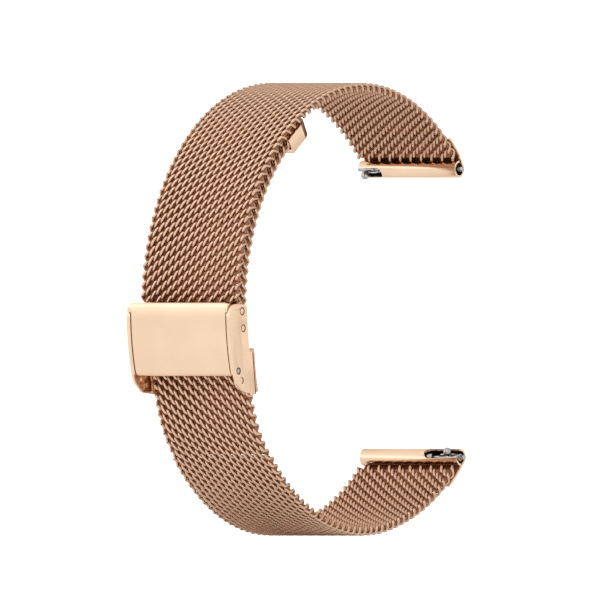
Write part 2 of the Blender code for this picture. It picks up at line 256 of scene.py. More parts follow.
def multiplied(nodes, links, first, second):
    blend = nodes.new("ShaderNodeMix")
    blend.data_type = 'RGBA'
    blend.blend_type = 'MULTIPLY'
    blend.inputs["Factor"].default_value = 1.0
    links.new(first, blend.inputs[6])
    links.new(second, blend.inputs[7])
    return blend.outputs[2]


def plated_metal(name, colour, roughness, edge=(0.6, 0.42, 0.3), bump=0.0, scale=180.0, grain=5000.0,
                 painted_shade_depths=()):
    """Metal with fine changes of tint, polish and relief. edge tints what it mirrors at a glance.

    The shares in the depth table, if given, paint shade: shares of the colour at values of the mesh's
    own `depth`, darker deeper in the weave. This painted shade is warmer than light, so green and blue
    fall off faster than red."""
    material, nodes, links, shader = new_material(name)
    shader.inputs["Metallic"].default_value = 1.0
    shader.inputs["Specular Tint"].default_value = (*edge, 1.0)
    tint = noise_at(nodes, links, scale)
    fine = noise_at(nodes, links, grain, 2.0)
    mottled = ramp_from(nodes, links, tint.outputs["Fac"],
                        (colour[0] * 0.94, colour[1] * 0.93, colour[2] * 0.92, 1), (*colour, 1))
    # Painted shade: the colour darkens with the mesh's `depth` attribute.
    if painted_shade_depths:
        depth = nodes.new("ShaderNodeAttribute")
        depth.attribute_name = "depth"
        ramp = nodes.new("ShaderNodeValToRGB")
        stops = ramp.color_ramp.elements
        stops.new(0.5)
        for stop, (position, share) in zip(stops, painted_shade_depths):
            stop.position = position
            stop.color = (share, share ** 1.12, share ** 1.2, 1.0)
        links.new(depth.outputs["Fac"], ramp.inputs["Fac"])
        mottled = multiplied(nodes, links, mottled, ramp.outputs["Color"])
    links.new(mottled, shader.inputs["Base Color"])
    links.new(range_from(nodes, links, fine.outputs["Fac"], *roughness), shader.inputs["Roughness"])
    if bump:
        relief = nodes.new("ShaderNodeBump")
        relief.inputs["Strength"].default_value = bump
        relief.inputs["Distance"].default_value = 0.02 * MM
        links.new(fine.outputs["Fac"], relief.inputs["Height"])
        links.new(relief.outputs["Normal"], shader.inputs["Normal"])
    return material


# The wire's colour darkens toward the middle of the weave: painted shade.
WIRE = plated_metal("rose_gold_wire", (0.87, 0.59, 0.425), (0.22, 0.36), edge=(0.42, 0.26, 0.17),
                    bump=0.15, scale=300.0, painted_shade_depths=((0.04, 1.0), (0.42, 0.78), (0.92, 0.4)))
# A dark brown band for the crossed wires deep in the weave: painted shade.
CORE_SHADE = plated_metal("painted_shade_wire", (0.58, 0.28, 0.15), (0.6, 0.75), edge=(0.3, 0.15, 0.08))
POLISHED = plated_metal("rose_gold_polished", (1.0, 0.735, 0.525), (0.16, 0.22), bump=0.03)
# A dark copy of the rose gold for the cap's bent sides: a painted dark reflection.
CAP_BEND_DARK_REFLECTION = plated_metal("rose_gold_cap_bend_painted_reflection", (0.33, 0.23, 0.18), (0.3, 0.4), edge=(0.1, 0.06, 0.05),
                        bump=0.03)
PRESSED = plated_metal("rose_gold_pressed", (0.80, 0.54, 0.38), (0.2, 0.3), edge=(0.3, 0.2, 0.14),
                       bump=0.08)
STEEL = plated_metal("bright_steel", (0.55, 0.55, 0.56), (0.12, 0.2), edge=(0.1, 0.1, 0.1), bump=0.05)
# Near-black, for the inside of the tubes: painted shade.
RECESS_SHADE = plated_metal("painted_recess_shade", (0.035, 0.022, 0.016), (0.6, 0.75), edge=(0.05, 0.03, 0.02))
# Dark brown for gaps, pin rings, crescents and linings: painted shade; on the ears' wrist-side edges a
# painted dark reflection.
SEAM_SHADE = plated_metal("painted_seam_shade", (0.27, 0.125, 0.068), (0.6, 0.75), edge=(0.15, 0.08, 0.045))


# ---------------------------------------------------------------- making and placing pieces

def settle(obj, body, nodes, slot, *materials):
    """Gives a piece its materials and its place in the frame."""
    for material in materials:
        obj.data.materials.append(material)
    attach(obj, body)
    if nodes:
        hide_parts(*nodes)
    return obj


def from_bmesh(name, bm, bevel=0.0, segments=2):
    """An object from a bmesh, its sharp edges rounded and its shading smooth."""
    bmesh.ops.recalc_face_normals(bm, faces=bm.faces)
    if bevel:
        sharp = [e for e in bm.edges if e.is_manifold and e.calc_face_angle(0.0) > math.radians(38)]
        bmesh.ops.bevel(bm, geom=sharp, offset=bevel, segments=segments, profile=0.5,
                        affect='EDGES', clamp_overlap=True)
    mesh = bpy.data.meshes.new(name)
    bm.to_mesh(mesh)
    bm.free()
    mesh.shade_smooth()
    mesh.set_sharp_from_angle(angle=math.radians(38))
    obj = bpy.data.objects.new(name, mesh)
    bpy.context.scene.collection.objects.link(obj)
    return obj


def carved(name, bm, cutters, bevel, segments=2):
    """Like from_bmesh, with cutters taken out before the edges are rounded."""
    body = from_bmesh(name + "_blank", bm)
    tools = [from_bmesh(name + "_tool", tool) for tool in cutters]
    for tool in tools:
        boolean = body.modifiers.new("cut", 'BOOLEAN')
        boolean.operation = 'DIFFERENCE'
        boolean.solver = 'EXACT'
        boolean.object = tool
    graph = bpy.context.evaluated_depsgraph_get()
    mesh = bpy.data.meshes.new_from_object(body.evaluated_get(graph))
    result = bmesh.new()
    result.from_mesh(mesh)
    bmesh.ops.remove_doubles(result, verts=result.verts, dist=0.002 * MM)
    bmesh.ops.dissolve_degenerate(result, edges=result.edges, dist=0.002 * MM)
    for obj in [body, *tools]:
        bpy.data.objects.remove(obj, do_unlink=True)
    return from_bmesh(name, result, bevel, segments)


def paint_shade(obj, index=1):
    """Gives a piece of a shell the shell's second or third material, a dark colour painted as shade."""
    for polygon in obj.data.polygons:
        polygon.material_index = index
    return obj


def joined(name, objects):
    """One object from several, each shell kept apart."""
    bm = bmesh.new()
    for obj in objects:
        obj.data.transform(obj.matrix_world)
        bm.from_mesh(obj.data)
        bpy.data.objects.remove(obj, do_unlink=True)
    return from_bmesh(name, bm)


def strip(left, right, span):
    """A bmesh solid across X between two polylines of equal length."""
    bm = bmesh.new()
    sides = []
    for x in span:
        offset = Vector((x, 0.0, 0.0))
        sides.append([[bm.verts.new(p + offset) for p in line] for line in (left, right)])
    (l0, r0), (l1, r1) = sides
    for k in range(len(left) - 1):
        bm.faces.new((l0[k], l0[k + 1], r0[k + 1], r0[k]))
        bm.faces.new((l1[k], r1[k], r1[k + 1], l1[k + 1]))
        bm.faces.new((l0[k], l1[k], l1[k + 1], l0[k + 1]))
        bm.faces.new((r0[k], r0[k + 1], r1[k + 1], r1[k]))
    for k in (0, -1):
        bm.faces.new((l0[k], r0[k], r1[k], l1[k]))
    return bm


def bent_sheet(path, thickness, half_width):
    left, right = [], []
    for k, point in enumerate(path):
        along = (path[min(k + 1, len(path) - 1)] - path[max(k - 1, 0)]).normalized()
        normal = across(along)
        left.append(point + normal * thickness / 2)
        right.append(point - normal * thickness / 2)
    return strip(left, right, (-half_width, half_width))


def sector(radii, angles, span):
    spread = arc_angles(*angles)
    return strip([polar(radii[0], a) for a in spread], [polar(radii[1], a) for a in spread], span)


def prism(outline, span):
    bm = bmesh.new()
    ends = [[bm.verts.new(p + Vector((x, 0.0, 0.0))) for p in outline] for x in span]
    bm.faces.new(ends[0])
    bm.faces.new(ends[1])
    for k in range(len(outline)):
        nxt = (k + 1) % len(outline)
        bm.faces.new((ends[0][k], ends[1][k], ends[1][nxt], ends[0][nxt]))
    return bm


def turned(profile, origin, axis=(1.0, 0.0, 0.0), hollow=False, sides=48):
    """Turns (along, radius) points round an axis through the origin."""
    bm = bmesh.new()
    turn = Vector((1.0, 0.0, 0.0)).rotation_difference(Vector(axis))
    rings = []
    for along, radius in profile:
        ring = []
        for k in range(sides):
            angle = 2 * math.pi * k / sides
            point = Vector((along, radius * math.cos(angle), radius * math.sin(angle)))
            ring.append(bm.verts.new(origin + turn @ point))
        rings.append(ring)
    pairs = list(zip(rings, rings[1:]))
    if hollow:
        pairs.append((rings[-1], rings[0]))
    else:
        bm.faces.new(rings[0])
        bm.faces.new(rings[-1])
    for first, second in pairs:
        for k in range(sides):
            nxt = (k + 1) % sides
            bm.faces.new((first[k], first[nxt], second[nxt], second[k]))
    return bm


def rod(place, radius, half_length, dome=0.0, sides=40):
    """A pin across the strap; dome is how far its ends crown."""
    profile = [(-half_length - dome, radius * 0.3), (-half_length - dome * 0.7, radius * 0.7),
               (-half_length, radius)]
    profile += [(-along, r) for along, r in reversed(profile)]
    return turned(profile, polar(*place), sides=sides)


# ---------------------------------------------------------------- the weave

def tubes(centres, guides, radius, sides):
    """Rings of points round paths of shape (paths, points, 3), and the quads that join them."""
    tangents = np.gradient(centres, axis=1)
    tangents /= np.linalg.norm(tangents, axis=2, keepdims=True)
    normals = guides - (guides * tangents).sum(2, keepdims=True) * tangents
    normals /= np.linalg.norm(normals, axis=2, keepdims=True)
    binormals = np.cross(tangents, normals)
    angles = 2 * np.pi * np.arange(sides) / sides
    rings = (centres[:, :, None, :]
             + radius * (normals[:, :, None, :] * np.cos(angles)[None, None, :, None]
                         + binormals[:, :, None, :] * np.sin(angles)[None, None, :, None]))
    paths, points = centres.shape[:2]
    index = np.arange(paths * points * sides).reshape(paths, points, sides)
    nxt = np.roll(index, -1, axis=2)
    quads = np.stack([index[:, :-1], nxt[:, :-1], nxt[:, 1:], index[:, 1:]], axis=-1)
    return rings.reshape(-1, 3), quads.reshape(-1, 4)


def coil_points(turns, odd, half_width):
    """Centre line of a coil: x across the strap, s along it, n out of it. It ends on its faces."""
    theta = 2 * np.pi * turns + np.pi * (odd + 0.5)
    reach = COIL_REACH * np.cos(theta)
    rise = COIL_RISE * np.sign(np.sin(theta)) * np.abs(np.sin(theta)) ** COIL_SHARPNESS
    half = half_width - WIRE_R - EDGE_BULGE
    return np.stack([-half + 2 * half * turns / COIL_TURNS, reach, rise], axis=-1)


def edge_bend(side, odd, row_gap, half_width):
    """A wire going round the strap's edge, from a coil's outer face to the next coil's inner face."""
    place = np.array([COIL_TURNS if side > 0 else 0.0])
    first = coil_points(place, odd, half_width)
    second = coil_points(place, 1 - odd, half_width) + np.array([0.0, row_gap, 0.0])
    t = np.linspace(0.0, 1.0, EDGE_POINTS)[:, None]
    share = t * t * (3 - 2 * t)
    sway = t * (1 - t) ** 2 - t * t * (1 - t)
    swing = np.array([0.0, -side * np.sign(first[0, 2]) * EDGE_SWING, 0.0])
    bulge = 4 * (t - t * t) * np.array([side * EDGE_BULGE, 0.0, 0.0])
    return first + (second - first) * share + sway * swing + bulge


def weave(name, body, start, rows, row_step, first_row, mid_radius, half_width, lean=1):
    """A length of woven mesh. mid_radius maps an angle to the radius of its middle surface."""
    turns = np.linspace(0.0, COIL_TURNS, int(COIL_TURNS * TURN_POINTS) + 1)
    angles = start + (np.arange(rows) + 0.5) * row_step
    odd = (first_row + np.arange(rows)) % 2
    row_gap = math.radians(row_step) * float(mid_radius(start))
    coils = np.stack([coil_points(turns, o, half_width) for o in odd])
    guides = coils * np.array([0.0, 1.0, 1.0])
    coil_verts, coil_quads = tubes(coils, guides, WIRE_R, WIRE_SIDES)
    bends = np.stack([edge_bend(1 if o else -1, o, row_gap, half_width) for o in odd])
    bend_guides = np.zeros_like(bends) + np.array([0.0, 0.0, 1.0])
    bend_verts, bend_quads = tubes(bends, bend_guides, WIRE_R, WIRE_SIDES)
    verts = np.concatenate([coil_verts, bend_verts])
    quads = np.concatenate([coil_quads, bend_quads + len(coil_verts)])
    row_of = np.concatenate([np.repeat(np.arange(rows), len(turns) * WIRE_SIDES),
                             np.repeat(np.arange(rows), EDGE_POINTS * WIRE_SIDES)])
    place = angles[row_of] + np.degrees(verts[:, 1] / mid_radius(angles[row_of]))
    wires = on_loop(verts[:, 0] * lean, place, mid_radius(place) + verts[:, 2])
    if lean < 0:
        quads = quads[:, ::-1]
    core_verts, core_quads = core_band((start + 0.4, start + rows * row_step - 0.4), mid_radius, half_width)
    mesh = mesh_from_arrays(name, np.concatenate([wires, core_verts]),
                            np.concatenate([quads, core_quads + len(wires)]))
    # The core band's faces get the second material, the painted shade.
    index = np.zeros(len(quads) + len(core_quads), np.int32)
    index[len(quads):] = 1
    mesh.polygons.foreach_set("material_index", index)
    # Painted shade: the deeper a point lies in the weave, the darker its colour.
    depth_shade = 1.0 - np.abs(verts[:, 2]) / (COIL_RISE + WIRE_R)
    depth_shade[len(coil_verts):] *= EDGE_SHADE
    depth = mesh.attributes.new("depth", 'FLOAT', 'POINT')
    depth.data.foreach_set("value", np.concatenate([depth_shade, np.ones(len(core_verts))]).astype(np.float32))
    obj = bpy.data.objects.new(name + "_weave", mesh)
    bpy.context.scene.collection.objects.link(obj)
    return settle(obj, body, [name], "woven_mesh", WIRE, CORE_SHADE)


def on_loop(x, degrees, radius):
    turn = np.radians(degrees)
    return np.stack([x, CENTRE.y + radius * np.cos(turn), CENTRE.z + radius * np.sin(turn)], axis=-1)


def core_band(span, mid_radius, half_width):
    """The crossed wires inside the weave, coloured dark brown as painted shade."""
    spread = np.array(arc_angles(*span))
    half = half_width - WIRE_R - 0.1 * MM
    corners = []
    for x, rise in ((-half, -1), (half, -1), (half, 1), (-half, 1)):
        corners.append(on_loop(np.full_like(spread, x), spread, mid_radius(spread) + rise * CORE_T / 2))
    verts = np.stack(corners, axis=1).reshape(-1, 3)
    first = np.arange(len(spread) - 1)[:, None] * 4
    side = np.arange(4)[None, :]
    nxt = (side + 1) % 4
    quads = np.stack([first + side, first + nxt, first + 4 + nxt, first + 4 + side], axis=-1)
    return verts, quads.reshape(-1, 4)


def mesh_from_arrays(name, verts, quads):
    mesh = bpy.data.meshes.new(name)
    mesh.vertices.add(len(verts))
    mesh.vertices.foreach_set("co", verts.astype(np.float32).ravel())
    mesh.loops.add(quads.size)
    mesh.loops.foreach_set("vertex_index", quads.astype(np.int32).ravel())
    mesh.polygons.add(len(quads))
    mesh.polygons.foreach_set("loop_start", np.arange(0, quads.size, 4, dtype=np.int32))
    mesh.update(calc_edges=True)
    mesh.validate()
    mesh.shade_smooth()
    return mesh


def outer_mid(degrees):
    return np.full_like(np.asarray(degrees, float), LOOP_R - MESH_T / 2)


def inner_mid(degrees):
    return layer_radius(np.asarray(degrees, float)) - MESH_T / 2 + 0.1 * MM


def make_mesh():
    weave("upper_mesh_stub", "upper_end", UPPER_START - UPPER_STUB_ROWS * UPPER_ROW, UPPER_STUB_ROWS,
          UPPER_ROW, 1, outer_mid, WEAVE_HW)
    for k in range(UPPER_LENGTHS):
        weave("upper_mesh_%d" % (k + 1), "upper_strap_%d" % (k + 1), UPPER_START + UPPER_SPAN * k,
              UPPER_ROWS, UPPER_ROW, 0, outer_mid, WEAVE_HW)
    weave("upper_mesh_clasp", "upper_clasp", UPPER_START + UPPER_SPAN * UPPER_LENGTHS, CLASP_ROWS,
          UPPER_ROW, 0, outer_mid, WEAVE_HW)
    weave("long_mesh", "long_strap", LONG_START, LONG_ROWS, LONG_ROW, 1, inner_mid, NARROW_HW, lean=-1)
    for k in range(LOWER_LENGTHS):
        weave("lower_mesh_%d" % (k + 1), "lower_strap_%d" % (k + 1), LOWER_START + LOWER_SPAN * k,
              LOWER_ROWS, LOWER_ROW, LOWER_ROWS * k, inner_mid, WEAVE_HW, lean=-1)
    weave("lower_mesh_stub", "lower_end", LOWER_START + LOWER_SPAN * LOWER_LENGTHS, LOWER_STUB_ROWS,
          LOWER_ROW, LOWER_ROWS * LOWER_LENGTHS, inner_mid, WEAVE_HW, lean=-1)


# ---------------------------------------------------------------- end pieces and spring bars

def slot_cutter(axis, out, front, start):
    """A cutter for the tube's slot: round at its blind end, open at the tube's end."""
    side = math.copysign(1.0, start)
    low, high = SLOT_REACH
    middle, radius = (low + high) / 2, (high - low) / 2
    outline = [(side * 12 * MM, low), (side * 12 * MM, high)]
    for k in range(13):
        angle = math.pi * k / 12
        outline.append((start + side * radius * (1 - math.sin(angle)), middle + radius * math.cos(angle)))
    bm = bmesh.new()
    ends = [[bm.verts.new(axis + Vector((x, 0.0, 0.0)) + front * f - out * depth) for x, f in outline]
            for depth in (0.3 * MM, 3 * MM)]
    bm.faces.new(ends[0])
    bm.faces.new(ends[1])
    for k in range(len(outline)):
        nxt = (k + 1) % len(outline)
        bm.faces.new((ends[0][k], ends[1][k], ends[1][nxt], ends[0][nxt]))
    return bm


def end_sheet(side, tube, slot_side, slot_length):
    sign = 1 if tube[1] > 0 else -1
    axis = polar(*tube)
    out = radial(tube[1])
    front = -across(out) * sign
    far, near = CLAMP_SPAN, STUB_START + 0.3
    path = []
    for angle in (tube[1] + sign * a for a in (far, far - 1.8, far - 3.6, near)):
        outside = LOOP_R if side == "upper" else float(layer_radius(360 + angle))
        path.append(polar(outside + 0.15 * MM + SHEET_T / 2, angle))
    # A thin dark sheet on the leaf's inner face and round the tube's mouth: painted shade.
    shade_lining = [p + (p - CENTRE).normalized() * SHADE_LINING_DROP for p in path]
    path += ring_path(axis, TUBE_R, out, front, 14, 312, 52)
    shade_lining.append(axis + (TUBE_R + SHADE_LINING_DROP) * (math.cos(0.3) * out + math.sin(0.3) * front))
    slot_start = slot_side * (END_HW - slot_length)
    fold = carved("fold", bent_sheet(path, SHEET_T, END_HW), [slot_cutter(axis, out, front, slot_start)],
                  0.05 * MM)
    # A near-black sleeve inside the tube's bore: painted shade.
    bore = TUBE_R - SHEET_T / 2
    tube_end = END_HW - 0.25 * MM
    profile = [(-tube_end, bore - 0.06 * MM), (-tube_end, bore - 0.01 * MM),
               (tube_end, bore - 0.01 * MM), (tube_end, bore - 0.06 * MM)]
    inside = carved("inside", turned(profile, axis, hollow=True),
                    [slot_cutter(axis, out, front, slot_start)], 0.0)
    shade = bent_sheet(shade_lining, 0.05 * MM, END_HW - 0.3 * MM)
    obj = joined(side + "_end_fold", [fold, paint_shade(inside), paint_shade(from_bmesh("shade_lining", shade), 2)])
    settle(obj, side + "_end", [side + "_end_sheet"], "rose_gold_steel", POLISHED, RECESS_SHADE, SEAM_SHADE)
    return axis, out


def lever_wire(axis, out, lever_side):
    """The bent wire that joins the knob to the sliding tip.

    bend is its place along the bar and its distance from the bar's axis, in millimetres."""
    bend = ((5.65, 0.15), (5.8, 0.42), (6.2, 0.68), (6.8, 0.82), (7.8, 0.86), (8.6, 0.8), (9.2, 0.62))
    points = np.array([axis + Vector((lever_side * x * MM, 0.0, 0.0)) - out * drop * MM
                       for x, drop in bend])
    centres = points[None]
    guides = np.zeros_like(centres) + np.array(across(out))
    verts, quads = tubes(centres, guides, 0.17 * MM, 16)
    bm = bmesh.new()
    corners = [bm.verts.new(v) for v in verts]
    for quad in quads:
        bm.faces.new([corners[k] for k in quad])
    for ring in (corners[:16], corners[-16:]):
        bm.faces.new(ring)
    return from_bmesh("lever", bm)


def spring_bar(side, axis, out, lever_side, knob_x, knob_drop):
    def along(values):
        return [(lever_side * x * MM, r) for x, r in values]

    barrel = turned(along(((-9.0, BARREL_BORE), (-9.0, BARREL_R), (4.3, BARREL_R), (4.3, BARREL_BORE))),
                    axis, hollow=True)
    fixed = turned(along(((-TIP_REACH, 0.5 * TIP_R), (-TIP_REACH + 0.05, 0.8 * TIP_R),
                          (-TIP_REACH + 0.15, TIP_R), (-7.5, TIP_R))), axis)
    release = turned(along(((2.35, TIP_R), (7.2, TIP_R), (7.2, 0.6 * MM), (9.7, 0.6 * MM), (9.7, TIP_R),
                            (TIP_REACH - 0.15, TIP_R), (TIP_REACH - 0.05, 0.8 * TIP_R),
                            (TIP_REACH, 0.5 * TIP_R))), axis)
    ball = [(knob_drop - KNOB_R * math.cos(a), KNOB_R * math.sin(a))
            for a in (math.radians(26 + 8 * k) for k in range(19))]
    stem = [(0.55 * MM, 0.34 * MM), (0.68 * MM, 0.28 * MM)]
    knob = turned(stem + ball, axis + Vector((lever_side * knob_x, 0.0, 0.0)), axis=-out)
    lever = lever_wire(axis, out, lever_side)
    for name, bm, body, bevel in (("barrel", barrel, "end", 0.08), ("fixed_tip", fixed, "end", 0.0),
                                  ("release_tip", release, "release", 0.06),
                                  ("release_knob", knob, "release", 0.0)):
        obj = from_bmesh("%s_%s_turned" % (side, name), bm, bevel * MM)
        if name == "release_knob":
            obj = joined(side + "_release_lever", [obj, lever])
        settle(obj, "%s_%s" % (side, body), ["%s_bar_%s" % (side, name)], "spring_steel", STEEL)
    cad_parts[side + "_bar_spring"].data.materials[0] = STEEL


# ---------------------------------------------------------------- clasp and tail

def rounded(points, radii, steps=8):
    """Rounds each corner of an outline whose radius isn't 0."""
    outline = []
    for k, (corner, radius) in enumerate(zip(points, radii)):
        if radius == 0:
            outline.append(corner)
            continue
        to_before = (points[k - 1] - corner).normalized()
        to_after = (points[(k + 1) % len(points)] - corner).normalized()
        half = to_before.angle(to_after) / 2
        run = radius / math.tan(half)
        centre = corner + (to_before + to_after).normalized() * radius / math.sin(half)
        first = (corner + to_before * run - centre).normalized()
        last = (corner + to_after * run - centre).normalized()
        for j in range(steps + 1):
            outline.append(centre + first.slerp(last, j / steps) * radius)
    return outline


def ear_outline():
    """The side of the cover. The loose corners have a radius, an angle and a rounding each."""
    arc = arc_angles(COVER_TOP + 3.0, COVER_END)
    outline = [polar(COVER_R, a) for a in arc]
    radii = [0.0] * len(outline)
    for radius, angle, rounding in ((41.0, 197.4, 2.5), (39.5, 200.8, 2.5), (36.1, 203.4, 0.3),
                                    (34.8, 191.8, 0.15), (35.75, 191.6, 0.3)):
        outline.append(polar(radius * MM, angle))
        radii.append(rounding * MM)
    arc = arc_angles(190.2, 181.5)
    outline += [polar(EAR_INNER_R, a) for a in arc]
    radii += [0.0] * len(arc)
    outline += [polar(EAR_INNER_R, COVER_TOP), polar(COVER_R, COVER_TOP)]
    radii += [0.8 * MM, 1.7 * MM]
    return rounded(outline, radii)


def painted_shade_ring(place, radii, span):
    """Painted shade in the gap between a pin's head and its hole."""
    profile = [(span[0], radii[0]), (span[0], radii[1]), (span[1], radii[1]), (span[1], radii[0])]
    return paint_shade(from_bmesh("ring", turned(profile, polar(*place), hollow=True)))


def detent(side):
    """The floor of the shallow hole in an ear, and painted shade on half of its wall."""
    centre = polar(*DETENT)
    out = radial(DETENT[1])
    lines = [ring_path(centre, radius, out, across(out), 95, 265, 20)
             for radius in (DETENT_R - 0.05 * MM, DETENT_R + 0.01 * MM)]
    span = (side * (COVER_HW - 0.16 * MM), side * (COVER_HW - 0.01 * MM))
    floor = turned([(side * (COVER_HW - depth * MM), DETENT_R + 0.01 * MM) for depth in (0.2, 0.1)], centre)
    return [from_bmesh("detent_floor", floor), paint_shade(from_bmesh("painted_crescent_shade", strip(*lines, span)))]


def make_ear(side, outline):
    places = (HINGE_PIN, LATCH_PIN, SNAP_PIN)
    cutters = [rod(place, radius, 12 * MM)
               for place, radius in zip((*places, DETENT), (*HOLE_R, DETENT_R))]
    span = (side * (COVER_HW - EAR_T), side * COVER_HW)
    shells = [carved("ear", prism(outline, span), cutters, 0.07 * MM)]
    depth = (side * (COVER_HW - 0.3 * MM), side * (COVER_HW - 0.01 * MM))
    # A dark ring of painted shade round each pin head.
    for place, hole, pin in zip(places, HOLE_R, PIN_R):
        shells.append(painted_shade_ring(place, (pin - 0.02 * MM, hole + 0.01 * MM), depth))
    lip = sector((COVER_R - COVER_T, COVER_R), (COVER_TOP + 2.2, COVER_END),
                 (side * (COVER_HW - LIP_W), side * (COVER_HW - EAR_T + 0.1 * MM)))
    shells.append(from_bmesh("lip", lip, 0.07 * MM))
    # A dark strip down in the gap between the plate and the lip: painted shade.
    seam = (side * (COVER_HW - LIP_W - SEAM_GAP), side * (COVER_HW - LIP_W + 0.02 * MM))
    shells.append(paint_shade(from_bmesh("seam", sector((COVER_R - COVER_T, COVER_R - 0.07 * MM),
                                                   (COVER_TOP + 0.5, COVER_END - 0.6), seam))))
    # A dark strip along the ear's wrist-side edge: a painted dark reflection.
    edge = [polar(r * MM, a) for r, a in ((34.86, 192.0), (36.12, 203.2), (36.34, 203.2), (35.08, 192.0))]
    painted_rim = (side * (COVER_HW - 0.1 * MM), side * (COVER_HW + 0.01 * MM))
    shells.append(paint_shade(from_bmesh("painted_rim", prism(edge, painted_rim))))
    return shells + detent(side)


def make_cover():
    outline = ear_outline()
    shells = make_ear(-1, outline) + make_ear(1, outline)
    middle = COVER_R - COVER_T / 2
    path = [polar(middle - 0.06 * MM, COVER_TOP - 0.2), polar(middle, COVER_TOP + 0.15)]
    path += [polar(middle, a) for a in arc_angles(COVER_TOP + 0.9, COVER_END - 1.1, 0.5)]
    path += [polar(middle - 0.05 * MM, COVER_END - 0.5), polar(middle - 0.2 * MM, COVER_END - 0.1)]
    path += [polar(middle - 0.45 * MM, COVER_END + 0.2)]
    plate = bent_sheet(path, COVER_T, COVER_HW - LIP_W - SEAM_GAP)
    shells.append(from_bmesh("plate", plate, 0.1 * MM, 3))
    for side in (-1, 1):
        span = (side * (COVER_HW - LIP_W - SEAM_GAP - 0.2 * MM), side * (COVER_HW - EAR_T - 0.06 * MM))
        tab = sector((COVER_R - COVER_T, COVER_R - 0.02 * MM), (COVER_TOP - 0.1, COVER_TOP + 2.05), span)
        shells.append(from_bmesh("tab", tab, 0.05 * MM))
    settle(joined("clasp_cover_shell", shells), "cover", ["clasp_cover"], "rose_gold_steel", POLISHED, SEAM_SHADE)
    for name, place, radius, material, finish in (
            ("hinge_pin", HINGE_PIN, PIN_R[0], POLISHED, "rose_gold_steel"),
            ("latch_pin", LATCH_PIN, PIN_R[1], POLISHED, "rose_gold_steel"),
            ("snap_pin", SNAP_PIN, PIN_R[2], STEEL, "spring_steel")):
        pin = from_bmesh(name + "_domed", rod(place, radius, COVER_HW - 0.06 * MM, 0.12 * MM))
        settle(pin, "cover", [name], finish, material)


def make_latches():
    centre = polar(*LATCH_PIN)
    out = radial(LATCH_PIN[1])
    path = ring_path(centre, 0.77 * MM, out, across(out), -262, 12, 40)
    path += [polar(38.3 * MM, a) for a in arc_angles(187.4, 195.9)]
    latch = from_bmesh("inner_latch_plate", bent_sheet(path, 0.32 * MM, 9.2 * MM), 0.06 * MM)
    settle(latch, "latch", ["inner_latch"], "rose_gold_steel", PRESSED)
    centre = polar(*HINGE_PIN)
    out = radial(HINGE_PIN[1])
    path = ring_path(centre, 0.85 * MM, out, across(out), -75, 255, 48)
    knuckle = from_bmesh("strap_knuckle_roll", bent_sheet(path, 0.36 * MM, MESH_HW), 0.06 * MM)
    settle(knuckle, "upper_clasp", ["strap_knuckle"], "rose_gold_steel", PRESSED)


def channel_block(angles, inner, outer, span):
    spread = arc_angles(*angles)
    return strip([polar(inner(a), a) for a in spread], [polar(outer(a), a) for a in spread], span)


def make_slider():
    block = channel_block(SLEEVE, lambda a: channel_radii(a)[0] - WRIST_T,
                          lambda a: channel_radii(a)[1] + SLEEVE_T, (-SLEEVE_HW, SLEEVE_HW))
    channel = channel_block((187.0, 206.0), lambda a: channel_radii(a)[0],
                            lambda a: channel_radii(a)[1], (-CHANNEL_HW, CHANNEL_HW))
    mouth = channel_block((SLEEVE_MOUTH, 206.0), lambda a: float(layer_radius(a)) - 0.8 * MM,
                          lambda a: COVER_R, (-12 * MM, 12 * MM))
    window_hw = LOCK_HW + 0.2 * MM
    window = sector((33 * MM, 35.6 * MM), (191.8, 201.8), (-window_hw, window_hw))
    sleeve = carved("slider_sleeve_shell", block, [channel, mouth, window], 0.04 * MM)
    settle(sleeve, "slider", ["slider_sleeve"], "rose_gold_steel", PRESSED)
    lock_pin = (channel_radii(LOCK_PIN_ANGLE)[0] - 0.3 * MM, LOCK_PIN_ANGLE)
    catch = (channel_radii(194.3)[1] + SLEEVE_T + 0.25 * MM, 194.3)
    for name, place, radius, half in (("catch_bar", catch, 0.2, 9.5), ("lock_pin", lock_pin, 0.13, 9.2)):
        bar = from_bmesh(name + "_rod", rod(place, radius * MM, half * MM, 0.05 * MM, sides=24))
        settle(bar, "slider", [name], "spring_steel", STEEL)
    out = radial(LOCK_PIN_ANGLE)
    angles = arc_angles(192.2, LOCK_PIN_ANGLE - 0.8)
    outline = [polar(channel_radii(a)[0] - 0.05 * MM, a) for a in angles]
    outline += ring_path(polar(*lock_pin), 0.27 * MM, out, across(out), -40, 220, 24)
    outline += [polar(channel_radii(a)[0] - 0.6 * MM, a) for a in reversed(angles)]
    plate = from_bmesh("lock_plate_leaf", prism(outline, (-LOCK_HW, LOCK_HW)), 0.06 * MM, 2)
    settle(plate, "lock", ["lock_plate"], "rose_gold_steel", POLISHED)


def nose_stations(nose, opening, half_width, corner):
    """Angle and half width of stations along a tongue whose tip has rounded corners.

    corner is how far the rounding reaches along the tongue and across it."""
    stations = []
    for k in range(15):
        turn = math.radians(90 * k / 14)
        stations.append((nose + math.degrees(corner[0] * (1 - math.cos(turn)) / INNER_LAYER_R),
                         half_width - corner[1] * (1 - math.sin(turn))))
    last = stations[-1][0]
    stations += [(last + (opening - last) * k / 8, half_width) for k in range(1, 9)]
    return stations


def tongue(stations, radii):
    """A block between two radii whose half width changes along the loop."""
    bm = bmesh.new()
    rings = []
    for degrees, half_width in stations:
        ring = []
        for radius, x in ((radii[0], -half_width), (radii[0], half_width),
                          (radii[1], half_width), (radii[1], -half_width)):
            ring.append(bm.verts.new(polar(radius, degrees) + Vector((x, 0.0, 0.0))))
        rings.append(ring)
    for first, second in zip(rings, rings[1:]):
        for k in range(4):
            nxt = (k + 1) % 4
            bm.faces.new((first[k], first[nxt], second[nxt], second[k]))
    bm.faces.new(rings[0])
    bm.faces.new(rings[-1])
    return bm


